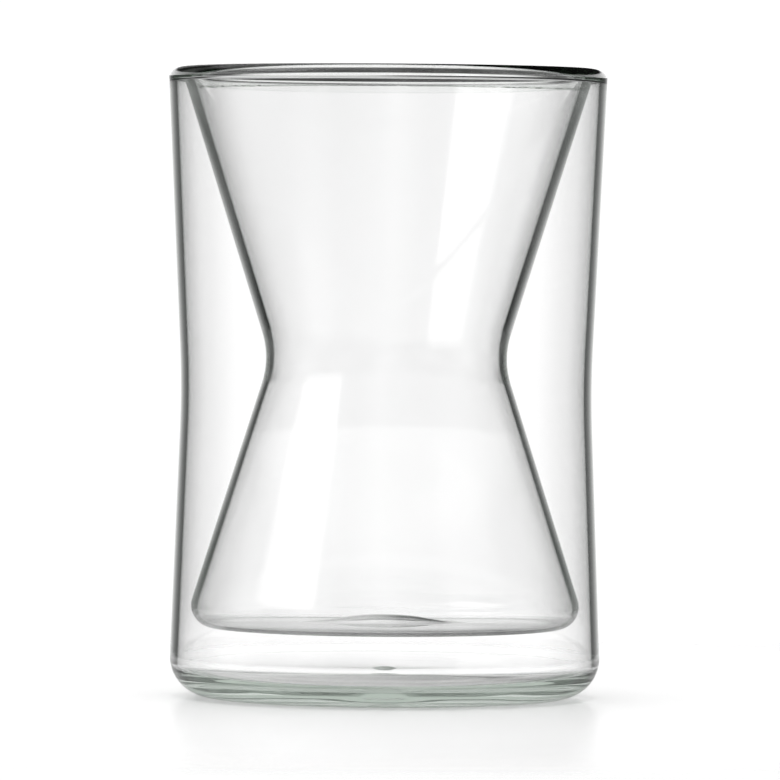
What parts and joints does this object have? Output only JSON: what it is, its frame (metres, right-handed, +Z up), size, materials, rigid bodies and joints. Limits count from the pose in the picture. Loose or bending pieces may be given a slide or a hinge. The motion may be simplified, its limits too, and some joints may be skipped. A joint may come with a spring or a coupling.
{
  "type": "double walled glass cup",
  "caption": "Straight-sided clear glass cup with an hourglass-shaped liner fused to it at the lip, sealed air between the walls.",
  "frame": {"origin": "centre of the cup's footprint on the table", "axes": "+Z up along the cup's axis, from the foot to the lip; the cup is round, so X and Y are any two directions across it"},
  "size_m": [0.0878, 0.0878, 0.1261],
  "materials": {
    "blown_glass": "clear blown borosilicate glass, smooth, faintly wavy",
    "fused_glass": "clear flame-melted glass, rounded and glossy"
  },
  "bodies": {
    "root": {"outer_wall": "blown_glass", "base": "blown_glass", "inner_vessel": "blown_glass", "rim_seal": "fused_glass", "vent_seal": "fused_glass"}
  },
  "joints": []
}
